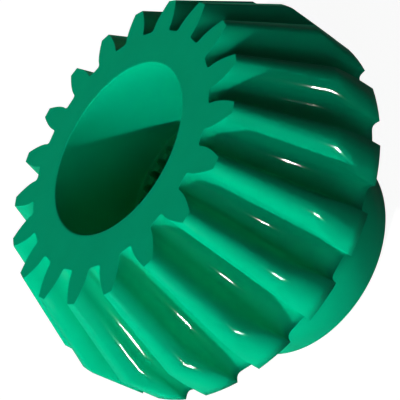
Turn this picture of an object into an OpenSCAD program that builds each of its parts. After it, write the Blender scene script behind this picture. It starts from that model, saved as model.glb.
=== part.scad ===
// Straight bevel pinion with a long hub, a counterbored mouth and a splined bore.
// Millimetres. The part stands on the end of its hub, with +Z along its axis towards
// the toe, the small end of the teeth. The origin is the centre of the hub's end face.

/* [Teeth] */
// Number of teeth on the pinion
teeth = 19; // [17:1:22]
// Number of teeth on the gear it runs with at a right angle
mate_teeth = 34; // [30:1:40]
// Module at the heel, the large end of the teeth
tooth_module = 2.5; // [2.4:0.05:2.8]
// Pressure angle in degrees
pressure_angle = 20; // [18:0.5:24]
// Addendum at the toe as a share of the module there
addendum_share = 1; // [0.8:0.01:1.05]
// Dedendum as a share of the module
dedendum_share = 0.95; // [0.8:0.01:1.2]
// Length of the teeth along the axis
tooth_length = 15.3; // [11:0.1:17]
// Reach of the rounding in the root corners of a tooth space, at the heel
root_fillet = 0.6; // [0.2:0.05:0.7]

/* [Blank] */
// Angle between the axis and the turned face cone, over the tips of the teeth
face_angle = 28.7; // [26:0.1:31]
// Diameter of the turned crown at the heel of the teeth
crown_d = 44.1; // [41:0.1:47]
// Diameter of the hub
hub_d = 25.6; // [24:0.1:32]
// Length of the hub behind the teeth
hub_length = 13.4; // [6:0.1:25]
// Fillet between the hub and the back of the teeth
hub_fillet = 1; // [0.3:0.1:2]
// Edge break at the end of the hub
hub_edge = 0.3; // [0.1:0.05:1]

/* [Bore] */
// Diameter of the counterbore at the toe
counterbore_d = 19.4; // [18.8:0.1:21.5]
// Depth of the counterbore
counterbore_depth = 11.2; // [5:0.1:20]
// Fillet at the floor of the counterbore
counterbore_fillet = 0.25; // [0.1:0.05:0.3]
// Edge break at the mouth of the counterbore
mouth_edge = 0.15; // [0.05:0.05:0.5]

/* [Spline] */
// Number of internal spline teeth
spline_teeth = 32; // [24:1:36]
// Diameter at the bottom of the spline spaces
spline_major_d = 18.6; // [18:0.1:18.6]
// Diameter across the tips of the spline teeth
spline_minor_d = 16.9; // [16.5:0.1:17.2]
// Width of a spline space halfway down its flanks
spline_space_w = 0.75; // [0.6:0.05:0.9]
// Angle of the spline flanks in degrees
spline_flank_angle = 20; // [10:1:30]
// Lead-in chamfer on both ends of the spline teeth
spline_lead = 0.3; // [0.1:0.05:0.6]

/* [Hidden] */

// How far a cutter runs past the face that it cuts through
overrun = 1;
// Fineness of the turned surfaces, and of the small fillets on them
turned_steps = 180;
corner_steps = 48;
// Straight lines along each tooth flank, and round each root corner
flank_steps = 10;
fillet_steps = 4;
// Height of a tooth space over its tooth's addendum, so that it opens outside the blank
space_reach = 1.15;
// Radius at which a tooth space is closed, over the radius at its top
rim_share = 1.04;

crown_r = crown_d / 2;
hub_r = hub_d / 2;
counterbore_r = counterbore_d / 2;
spline_major_r = spline_major_d / 2;
spline_minor_r = spline_minor_d / 2;

// Pitch cone, with its apex on the axis above the toe
pitch_angle = atan(teeth / mate_teeth);
heel_pitch_r = tooth_module * teeth / 2;
apex_height = heel_pitch_r / tan(pitch_angle);
cone_distance = heel_pitch_r / sin(pitch_angle);
addendum = addendum_share * tooth_module;
dedendum = dedendum_share * tooth_module;

// Heights along the axis
heel_z = hub_length;
toe_z = heel_z + tooth_length;
apex_z = heel_z + apex_height;
toe_tip_r = (apex_z - toe_z) * tan(pitch_angle + atan(addendum / cone_distance));
crown_z = toe_z - (crown_r - toe_tip_r) / tan(face_angle);
shoulder_z = toe_z - counterbore_depth;

// Spur gear that has the bevel teeth's form when the back cone is rolled out flat
rolled_pitch_r = heel_pitch_r / cos(pitch_angle);
rolled_base_r = rolled_pitch_r * cos(pressure_angle);
rolled_teeth = teeth / cos(pitch_angle);

// Roll angle of the involute at radius r, and none below the base circle
function involute_angle(r) =
    let (a = acos(min(1, rolled_base_r / r)))
    tan(a) * 180 / PI - a;

// Half the angle of a rolled-out tooth at radius r
function rolled_half_angle(r) =
    90 / rolled_teeth + involute_angle(rolled_pitch_r) - involute_angle(r);

// Point [radius, angle] of a flank in the heel plane, at height h over the pitch cone
function flank_point(h) =
    let (
        rolled_r = rolled_pitch_r + h,
        cone_r = heel_pitch_r + h * cos(pitch_angle),
        to_plane = apex_height / (apex_height - h * sin(pitch_angle))
    )
    [cone_r * to_plane, rolled_half_angle(rolled_r) * rolled_r / cone_r];

function polar(r, a) = [r * cos(a), r * sin(a)];

// Point of a tooth space's side at height h, with the space centred on +X
function side_point(h) =
    let (p = flank_point(h))
    polar(p[0], 180 / teeth - p[1]);

// Curve that leaves a towards the corner b and ends at c
function rounded(a, b, c, t) = a * (1 - t) * (1 - t) + b * 2 * t * (1 - t) + c * t * t;

root_corner = side_point(-dedendum);
root_land = root_corner - [0, root_fillet];
flank_foot = side_point(root_fillet - dedendum);
flank_rise = (addendum * space_reach + dedendum - root_fillet) / flank_steps;

// One side of a tooth space, from its root land up and out of the blank
space_side = concat(
    [for (i = [0 : fillet_steps - 1]) rounded(root_land, root_corner, flank_foot, i / fillet_steps)],
    [for (i = [0 : flank_steps]) side_point(root_fillet - dedendum + flank_rise * i)],
    [side_point(addendum * space_reach) * rim_share]
);
last_point = len(space_side) - 1;
space_outline = concat(
    space_side,
    [for (i = [last_point : -1 : 0]) [space_side[i][0], -space_side[i][1]]]
);

// Turned body before the teeth are cut
module blank() {
    rotate_extrude($fn = turned_steps)
        polygon([
            [0, 0],
            [hub_r - hub_edge, 0],
            [hub_r, hub_edge],
            [hub_r, heel_z],
            [crown_r, heel_z],
            [crown_r, crown_z],
            [toe_tip_r, toe_z],
            [0, toe_z]
        ]);
    hub_corner();
}

// Fillet ring in the corner between the hub and the back of the teeth
module hub_corner() {
    rotate_extrude($fn = turned_steps)
        translate([hub_r, heel_z - hub_fillet])
            difference() {
                translate([-overrun, 0])
                    square([overrun + hub_fillet, hub_fillet]);
                translate([hub_fillet, 0])
                    circle(r = hub_fillet, $fn = corner_steps);
            }
}

// Tapered cutter for one tooth space, with every edge running to the apex
module tooth_space() {
    base_scale = (apex_height + overrun) / apex_height;
    top_scale = (apex_z - toe_z - overrun) / apex_height;
    translate([0, 0, heel_z - overrun])
        linear_extrude(height = tooth_length + 2 * overrun, scale = top_scale / base_scale, slices = 1)
            polygon(space_outline * base_scale);
}

module tooth_spaces() {
    for (i = [0 : teeth - 1])
        rotate([0, 0, (i + 0.5) * 360 / teeth])
            tooth_space();
}

// Counterbore with a rounded floor corner, and the edge break at its mouth
module counterbore() {
    inner_r = counterbore_r - counterbore_fillet;
    translate([0, 0, shoulder_z])
        rotate_extrude($fn = turned_steps) {
            square([inner_r, counterbore_depth + overrun]);
            translate([0, counterbore_fillet])
                square([counterbore_r, counterbore_depth + overrun - counterbore_fillet]);
            translate([inner_r, counterbore_fillet])
                circle(r = counterbore_fillet, $fn = corner_steps);
        }
    translate([0, 0, toe_z - mouth_edge])
        cylinder(
            r1 = counterbore_r,
            r2 = counterbore_r + mouth_edge + overrun,
            h = mouth_edge + overrun,
            $fn = turned_steps
        );
}

// Bore across the tips of the spline teeth, with a lead-in chamfer at both ends
module spline_tip_bore() {
    lead_r = spline_minor_r + spline_lead;
    translate([0, 0, -overrun])
        cylinder(r = spline_minor_r, h = shoulder_z + 2 * overrun, $fn = turned_steps);
    translate([0, 0, -overrun])
        cylinder(r1 = lead_r + overrun, r2 = spline_minor_r, h = spline_lead + overrun, $fn = turned_steps);
    translate([0, 0, shoulder_z - spline_lead])
        cylinder(r1 = spline_minor_r, r2 = lead_r, h = spline_lead, $fn = turned_steps);
}

// Spaces between the spline teeth
module spline_spaces() {
    mid_r = (spline_major_r + spline_minor_r) / 2;
    inner_r = spline_minor_r - spline_lead;
    half_major = spline_space_w / 2 - (spline_major_r - mid_r) * tan(spline_flank_angle);
    half_inner = spline_space_w / 2 + (mid_r - inner_r) * tan(spline_flank_angle);
    for (i = [0 : spline_teeth - 1])
        rotate([0, 0, i * 360 / spline_teeth])
            translate([0, 0, -overrun])
                linear_extrude(height = shoulder_z + 2 * overrun)
                    polygon([
                        [inner_r, -half_inner],
                        [spline_major_r, -half_major],
                        [spline_major_r, half_major],
                        [inner_r, half_inner]
                    ]);
}

module pinion_gear() {
    color([0, 0.55, 0.4])
        difference() {
            blank();
            tooth_spaces();
            counterbore();
            spline_tip_bore();
            spline_spaces();
        }
}

pinion_gear();
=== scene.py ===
import math

import bmesh
import bpy
from mathutils import Matrix, Vector


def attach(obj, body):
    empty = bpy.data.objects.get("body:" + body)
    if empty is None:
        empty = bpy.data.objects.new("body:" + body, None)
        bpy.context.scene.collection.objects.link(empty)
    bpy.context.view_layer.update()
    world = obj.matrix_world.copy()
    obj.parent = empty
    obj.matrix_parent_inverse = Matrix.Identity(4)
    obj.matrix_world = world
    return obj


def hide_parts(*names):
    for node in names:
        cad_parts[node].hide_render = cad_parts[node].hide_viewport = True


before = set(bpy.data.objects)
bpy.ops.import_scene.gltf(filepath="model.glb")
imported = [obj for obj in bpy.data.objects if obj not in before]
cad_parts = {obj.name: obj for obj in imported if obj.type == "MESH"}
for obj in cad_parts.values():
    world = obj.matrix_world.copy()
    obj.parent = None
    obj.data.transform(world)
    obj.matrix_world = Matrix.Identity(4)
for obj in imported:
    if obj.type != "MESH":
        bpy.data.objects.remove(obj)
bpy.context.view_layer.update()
metre = 0.001  # the sizes below are millimetres
print("stage: frame loaded")

# Pinion gear, one skin of rings pulled out one after another
gear = {
    "teeth": 19,
    "mateTeeth": 34,
    "module": 2.5,
    "pressureAngle": 20,
    "dedendumShare": 0.95,
    "rootFillet": 0.6,
    "flankSteps": 8,
    "heelZ": 13.4,
    "toeZ": 28.7,
    "faceAngle": 28.7,
    "crownR": 22.05,
    "faceRows": (27, 25.2, 23.4, 21.6),  # heights of rings between the toe and the crown
    "crownRows": (17.6, 16),  # and between the crown and the heel
    "heelSoft": 1.0,  # width of the soft shading at the heel ends
    "backStep": 0.5,  # from the heel's outline in to the first ring on the back
    "backR": 18,
}
hub = {"radius": 12.8, "fillet": 1.0, "filletLead": 0.4, "edge": 0.3, "rimSoft": 3.6}
bore = {"radius": 9.7, "depth": 11.2, "floorFillet": 0.25, "mouthEdge": 0.15, "wallLead": 1}
spline = {"teeth": 32, "majorR": 9.3, "minorR": 8.45, "spaceW": 0.75, "flankAngle": 20, "lead": 0.3}
arcSteps = {"bore": 4, "hub": 6}

columns = gear["teeth"] * spline["teeth"]  # divides evenly by both counts
toothColumns = columns // gear["teeth"]
splineColumns = columns // spline["teeth"]
halfPitch = math.pi / gear["teeth"]
heelZ = gear["heelZ"]
toeZ = gear["toeZ"]

pitchAngle = math.atan2(gear["teeth"], gear["mateTeeth"])
heelPitchR = gear["module"] * gear["teeth"] / 2
apexHeight = heelPitchR / math.tan(pitchAngle)
apexZ = heelZ + apexHeight
coneDistance = heelPitchR / math.sin(pitchAngle)
dedendum = gear["dedendumShare"] * gear["module"]
toeTipR = (apexZ - toeZ) * math.tan(pitchAngle + math.atan(gear["module"] / coneDistance))
faceSlope = math.tan(math.radians(gear["faceAngle"]))
crownZ = toeZ - (gear["crownR"] - toeTipR) / faceSlope
shoulderZ = toeZ - bore["depth"]
rolledPitchR = heelPitchR / math.cos(pitchAngle)
rolledBaseR = rolledPitchR * math.cos(math.radians(gear["pressureAngle"]))


def involute(radius):
    angle = math.acos(min(1, rolledBaseR / radius))
    return math.tan(angle) - angle


def flankPoint(height):  # radius in the heel plane, and angle from the middle of the tooth space
    rolledR = rolledPitchR + height
    coneR = heelPitchR + height * math.cos(pitchAngle)
    half = math.pi * math.cos(pitchAngle) / (2 * gear["teeth"]) + involute(rolledPitchR) - involute(rolledR)
    toPlane = apexHeight / (apexHeight - height * math.sin(pitchAngle))
    return coneR * toPlane, halfPitch - half * rolledR / coneR


def flat(point):
    return Vector((point[0] * math.cos(point[1]), point[0] * math.sin(point[1])))


# Half a tooth, from the middle of a tooth space to the middle of a tooth
# Its points: 0 to 2 root land, 3 to 5 root corner, 6 to 14 flank, 15 and 16 top land
def halfTooth(z):
    shrink = (apexZ - z) / apexHeight
    tipR = min(gear["crownR"], toeTipR + (toeZ - z) * faceSlope)
    footHeight = gear["rootFillet"] - dedendum
    low = footHeight
    high = 2 * gear["module"]
    for step in range(50):  # halves its way to the height at which the flank meets the turned blank
        middle = (low + high) / 2
        if flankPoint(middle)[0] * shrink < tipR:
            low = middle
        else:
            high = middle
    corner = flat(flankPoint(-dedendum))
    land = corner - Vector((0, gear["rootFillet"]))
    foot = flat(flankPoint(footHeight))
    outline = [Vector((corner.x, 0)), Vector((corner.x, land.y / 2)), land]
    for t in (0.25, 0.5, 0.75):
        outline.append(land * (1 - t) ** 2 + corner * 2 * t * (1 - t) + foot * t * t)
    for step in range(gear["flankSteps"] + 1):
        outline.append(flat(flankPoint(footHeight + (low - footHeight) * step / gear["flankSteps"])))
    polar = [(point.length * shrink, math.atan2(point.y, point.x)) for point in outline]
    return polar + [(tipR, (polar[-1][1] + halfPitch) / 2), (tipR, halfPitch)]


def toothRing(z, inset=0):
    half = halfTooth(z)
    ring = []
    for column in range(columns):
        tooth, step = divmod(column, toothColumns)
        radius, angle = half[min(step, toothColumns - step)]
        if step > toothColumns // 2:
            angle = 2 * halfPitch - angle
        ring.append((radius - inset, angle + (2 * tooth - 1) * halfPitch, z))
    return ring


def topRise(z):  # tilt of the shading over the tips, eased along the tooth
    if z > crownZ:
        share = 0.5 + 0.5 * (z - crownZ) / (toeZ - crownZ)
    else:
        share = 0.5 * (z - heelZ) / (crownZ - heelZ)
    return math.radians(gear["faceAngle"]) * share


def softHalf(z):  # shading directions of half a tooth that has its middle on +X
    half = [(radius, angle - halfPitch) for radius, angle in halfTooth(z)]
    points = [Vector((*flat(point), z)) for point in half]
    rise = topRise(z)
    top = Vector((math.cos(rise), 0, math.sin(rise)))
    tipTop = Matrix.Rotation(half[14][1], 3, "Z") @ top
    rootRise = math.atan2(half[0][0], apexZ - z) * (z - heelZ) / (toeZ - heelZ)
    root = Matrix.Rotation(half[0][1], 3, "Z") @ Vector((math.cos(rootRise), 0, math.sin(rootRise)))
    flank = (points[11] - points[9]).cross(Vector((0, 0, apexZ)) - points[10]).normalized()
    turns = [(0, root), (4, (root + flank).normalized()), (10, flank)]
    turns += [(14, (flank + tipTop).normalized()), (16, top)]
    along = [0]
    for start, end in zip(points, points[1:]):
        along.append(along[-1] + (end - start).length)
    directions = [root]
    for (first, start), (last, end) in zip(turns, turns[1:]):
        for step in range(first + 1, last + 1):
            share = (along[step] - along[first]) / (along[last] - along[first])
            directions.append(start.lerp(end, share).normalized())
    return directions


def softRing(z, backwards=0):  # the heel's ring leans backwards
    half = softHalf(z)
    ring = []
    for column in range(columns):
        tooth, step = divmod(column, toothColumns)
        direction = half[min(step, toothColumns - step)] - Vector((0, 0, backwards))
        if step > toothColumns // 2:
            direction.y = -direction.y
        ring.append(Matrix.Rotation(2 * tooth * halfPitch, 3, "Z") @ direction.normalized())
    return ring


def roundRing(radius, z):
    return [(radius, (2 * column / toothColumns - 1) * halfPitch, z) for column in range(columns)]


# Ring round the spline, with 3 points on half a space's bottom, 4 on its flank and 3 on a tooth's tip
def splineRing(z, leastR=0):
    middleR = (spline["majorR"] + spline["minorR"]) / 2
    slope = math.tan(math.radians(spline["flankAngle"]))
    bottom = spline["spaceW"] / 2 - (spline["majorR"] - middleR) * slope
    top = spline["spaceW"] / 2 + (middleR - spline["minorR"]) * slope
    tip = math.asin(top / spline["minorR"])
    rest = math.pi / spline["teeth"] - tip
    half = [Vector((spline["majorR"], bottom * step / 2)) for step in range(3)]
    for step in range(1, 5):
        half.append(half[2].lerp(Vector((spline["minorR"] * math.cos(tip), top)), step / 4))
    for step in range(1, 4):
        half.append(flat((spline["minorR"], tip + rest * step / 3.5)))
    ring = []
    for column in range(columns):
        space, step = divmod(column - toothColumns // 2 + splineColumns // 2, splineColumns)
        step -= splineColumns // 2
        point = half[abs(step)]
        angle = math.copysign(math.atan2(point.y, point.x), step)
        ring.append((max(point.length, leastR), angle + 2 * math.pi * space / spline["teeth"], z))
    return ring


def arcRings(centreR, centreZ, radius, start, end, steps):
    arc = []
    for step in range(steps + 1):
        angle = math.radians(start + (end - start) * step / steps)
        arc.append((roundRing(centreR + radius * math.cos(angle), centreZ + radius * math.sin(angle)), False))
    return arc


# Each ring, and whether its edge is sharp
leadR = spline["minorR"] + spline["lead"]
floorR = bore["radius"] - bore["floorFillet"]
floorZ = shoulderZ + bore["floorFillet"]
mouthR = bore["radius"] + bore["mouthEdge"]
mouthZ = toeZ - bore["mouthEdge"]
hubCornerR = hub["radius"] + hub["fillet"]
rings = [(splineRing(shoulderZ, leadR), True)]
rings += arcRings(floorR, floorZ, bore["floorFillet"], -90, 0, arcSteps["bore"])
rings.append((roundRing(bore["radius"], shoulderZ + bore["wallLead"]), False))
rings.append((roundRing(bore["radius"], toeZ - bore["wallLead"]), False))
rings += arcRings(mouthR, mouthZ, bore["mouthEdge"], 180, 90, arcSteps["bore"])
rings.append((roundRing(mouthR + bore["mouthEdge"], toeZ), False))
toeRing = len(rings)
shading = {}
for z in (toeZ, *gear["faceRows"], crownZ, *gear["crownRows"], heelZ + gear["heelSoft"], heelZ):
    shading[len(rings)] = softRing(z, 1 if z == heelZ else 0)
    rings.append((toothRing(z), z == toeZ))
rings.append((toothRing(heelZ, gear["backStep"]), False))
rings.append((roundRing(gear["backR"], heelZ), False))
rings.append((roundRing(hubCornerR + hub["filletLead"], heelZ), False))
rings += arcRings(hubCornerR, heelZ - hub["fillet"], hub["fillet"], 90, 180, arcSteps["hub"])
rings.append((roundRing(hub["radius"], hub["edge"] + hub["rimSoft"]), False))
rings.append((roundRing(hub["radius"], hub["edge"]), False))
rings.append((roundRing(hub["radius"] - hub["edge"], 0), True))
rings.append((splineRing(0, leadR), True))
rings.append((splineRing(spline["lead"]), True))
rings.append((splineRing(shoulderZ - spline["lead"]), True))
rings.append(rings[0])

bpy.ops.object.select_all(action="DESELECT")
bpy.ops.mesh.primitive_circle_add(vertices=columns, radius=bore["radius"] * metre)
pinion = bpy.context.object
pinion.name = "pinionGear"
pinion.data.attributes.new("column", "INT", "POINT").data.foreach_set("value", range(columns))
pinion.data.attributes.new("ring", "INT", "POINT")


def placeRing(number):  # moves the selected ring of points to its place
    ring, sharp = rings[number]
    skin = bmesh.from_edit_mesh(pinion.data)
    columnLayer = skin.verts.layers.int["column"]
    ringLayer = skin.verts.layers.int["ring"]
    for vert in skin.verts:
        if vert.select:
            radius, angle, z = ring[vert[columnLayer]]
            vert.co = Vector((radius * math.cos(angle), radius * math.sin(angle), z)) * metre
            vert[ringLayer] = number
    bmesh.update_edit_mesh(pinion.data)
    bpy.ops.mesh.mark_sharp(clear=not sharp)


bpy.ops.object.mode_set(mode="EDIT")
bpy.ops.mesh.select_all(action="SELECT")
placeRing(0)
for number in range(1, len(rings)):
    bpy.ops.mesh.extrude_region_move()
    placeRing(number)
bpy.ops.mesh.select_all(action="SELECT")
bpy.ops.mesh.remove_doubles(threshold=1e-7)
bpy.ops.mesh.normals_make_consistent(inside=False)

# Sharp corners on the spline, which lies inside the counterbore's wall
bpy.ops.mesh.select_all(action="DESELECT")
bpy.ops.mesh.edges_select_sharp(sharpness=math.radians(30))
splineReach = (spline["majorR"] + bore["radius"]) / 2 * metre
skin = bmesh.from_edit_mesh(pinion.data)
for edge in skin.edges:
    if max(vert.co.xy.length for vert in edge.verts) > splineReach:
        edge.select = False
bmesh.update_edit_mesh(pinion.data)
bpy.ops.mesh.mark_sharp()
bpy.ops.object.mode_set(mode="OBJECT")
bpy.ops.object.shade_smooth()

# Soft shading on the teeth, where zero keeps the plain normal
columnOf = [item.value for item in pinion.data.attributes["column"].data]
ringOf = [item.value for item in pinion.data.attributes["ring"].data]
normals = [Vector() for corner in pinion.data.loops]
for face in pinion.data.polygons:
    if min(ringOf[vertex] for vertex in face.vertices) >= toeRing:
        for corner, vertex in zip(face.loop_indices, face.vertices):
            if ringOf[vertex] in shading:
                normals[corner] = shading[ringOf[vertex]][columnOf[vertex]]
pinion.data.normals_split_custom_set(normals)
for name in ("column", "ring"):
    pinion.data.attributes.remove(pinion.data.attributes[name])
print("stage: gear modelled,", len(pinion.data.polygons), "faces")

# Glossy green plastic
green = {
    "base": (0, 0.5, 0.25),
    "shift": 0.03,  # of the base colour, either way
    "shiftStops": (0.3, 0.7),
    "roughness": 0.4,
    "roughShift": 0.02,
    "coat": 0.02,
    "coatRoughness": 0.05,
    "cloudScale": 260,
    "cloudDetail": 3,
}
plastic = bpy.data.materials.new("greenGloss")
plastic.use_nodes = True
nodes = plastic.node_tree.nodes
links = plastic.node_tree.links
shader = nodes["Principled BSDF"]
shader.inputs["Base Color"].default_value = (*green["base"], 1)
shader.inputs["Roughness"].default_value = green["roughness"]
shader.inputs["Specular IOR Level"].default_value = 0
shader.inputs["Coat Weight"].default_value = green["coat"]
shader.inputs["Coat Roughness"].default_value = green["coatRoughness"]
coordinates = nodes.new("ShaderNodeTexCoord")
cloud = nodes.new("ShaderNodeTexNoise")
cloud.inputs["Scale"].default_value = green["cloudScale"]
cloud.inputs["Detail"].default_value = green["cloudDetail"]
shade = nodes.new("ShaderNodeValToRGB")
factors = (1 - green["shift"], 1 + green["shift"])
for stop, factor, position in zip(shade.color_ramp.elements, factors, green["shiftStops"]):
    stop.color = [channel * factor for channel in green["base"]] + [1]
    stop.position = position
gloss = nodes.new("ShaderNodeMapRange")
gloss.inputs["To Min"].default_value = green["roughness"] - green["roughShift"]
gloss.inputs["To Max"].default_value = green["roughness"] + green["roughShift"]
links.new(coordinates.outputs["Object"], cloud.inputs["Vector"])
links.new(cloud.outputs["Fac"], shade.inputs["Fac"])
links.new(cloud.outputs["Fac"], gloss.inputs["Value"])
links.new(shade.outputs["Color"], shader.inputs["Base Color"])
links.new(gloss.outputs["Result"], shader.inputs["Roughness"])
pinion.data.materials.clear()
pinion.data.materials.append(plastic)
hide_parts("pinion_gear")
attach(pinion, "root")
print("stage: material set")


# Strength of a light that is white where the background is seen, and low for all other rays
def whiteToCamera(tree, low, white):
    path = tree.nodes.new("ShaderNodeLightPath")
    seen = path.outputs["Is Camera Ray"]
    for ray in ("Is Glossy Ray", "Is Transmission Ray"):
        either = tree.nodes.new("ShaderNodeMath")
        either.operation = "MAXIMUM"
        tree.links.new(seen, either.inputs[0])
        tree.links.new(path.outputs[ray], either.inputs[1])
        seen = either.outputs[0]
    scaled = tree.nodes.new("ShaderNodeMapRange")
    scaled.inputs["To Min"].default_value = low
    scaled.inputs["To Max"].default_value = white
    tree.links.new(seen, scaled.inputs["Value"])
    return scaled.outputs["Result"]


# Pale floor, white to the camera, with a faint shadow
floorLook = {"size": 3, "pale": 0.2, "white": 0.93}
bpy.ops.mesh.primitive_plane_add(size=floorLook["size"])
floor = bpy.context.object
floor.name = "floor"
floor.visible_shadow = False  # it takes shadows and doesn't block the sparkle, which comes from below
paper = bpy.data.materials.new("paleFloor")
paper.use_nodes = True
nodes = paper.node_tree.nodes
links = paper.node_tree.links
nodes.remove(nodes["Principled BSDF"])
matt = nodes.new("ShaderNodeBsdfDiffuse")
matt.inputs["Color"].default_value = [floorLook["pale"]] * 3 + [1]
glow = nodes.new("ShaderNodeEmission")
links.new(whiteToCamera(paper.node_tree, 0, floorLook["white"]), glow.inputs["Strength"])
blend = nodes.new("ShaderNodeAddShader")
links.new(matt.outputs[0], blend.inputs[0])
links.new(glow.outputs[0], blend.inputs[1])
links.new(blend.outputs[0], nodes["Material Output"].inputs["Surface"])
floor.data.materials.append(paper)

# Light
lamps = {
    "key": {"to": (-0.854, -0.035, 0.518), "strength": 1.85, "angle": 1},
    "rim": {"to": (-0.995, -0.03, 0.05), "strength": 1.2, "angle": 20},
    "side": {"to": (-0.714, -0.643, 0.276), "strength": 0.9, "angle": 45},
    "back": {"to": (0.4, 0.915, 0.03), "strength": 1.1, "angle": 20},
    "sparkle": {"to": (-0.43, -0.879, -0.208), "strength": 40, "angle": 5},
}
lampDistance = 300
studio = {"fill": 0.015, "white": 1}
for name, lamp in lamps.items():
    towards = Vector(lamp["to"]).normalized()
    turned = towards.to_track_quat("Z", "Y").to_euler()
    bpy.ops.object.light_add(type="SUN", location=towards * lampDistance * metre, rotation=turned)
    sun = bpy.context.object
    sun.name = name
    sun.data.energy = lamp["strength"]
    sun.data.angle = math.radians(lamp["angle"])
    sun.visible_diffuse = name != "sparkle"  # the sparkle only draws the highlights
world = bpy.data.worlds.new("studio")
world.use_nodes = True
sky = world.node_tree.nodes["Background"]
sky.inputs["Color"].default_value = (1, 1, 1, 1)
skyStrength = whiteToCamera(world.node_tree, studio["fill"], studio["white"])
world.node_tree.links.new(skyStrength, sky.inputs["Strength"])
bpy.context.scene.world = world

# Camera, turned about its own view axis as in the photograph
view = {
    "azimuth": -15.32,
    "elevation": 35.82,
    "roll": -60.73,
    "aim": (-0.84, -1.18, 17.09),
    "distance": 120,
    "lens": 100.4,
    "sensor": 36,
    "nearest": 5,
}
azimuth = math.radians(view["azimuth"])
elevation = math.radians(view["elevation"])
roll = math.radians(view["roll"])
level = math.cos(elevation)
forward = Vector((-math.sin(azimuth) * level, math.cos(azimuth) * level, -math.sin(elevation)))
levelRight = Vector((math.cos(azimuth), math.sin(azimuth), 0))
levelUp = levelRight.cross(forward)
right = levelRight * math.cos(roll) + levelUp * math.sin(roll)
up = right.cross(forward)
stand = (Vector(view["aim"]) - forward * view["distance"]) * metre
bpy.ops.object.camera_add()
camera = bpy.context.object
camera.matrix_world = Matrix.Translation(stand) @ Matrix((right, up, -forward)).transposed().to_4x4()
camera.data.sensor_width = view["sensor"]
camera.data.lens = view["lens"]
camera.data.clip_start = view["nearest"] * metre
bpy.context.scene.camera = camera
bpy.context.scene.view_settings.view_transform = "Standard"
print("stage: floor, light and camera set")
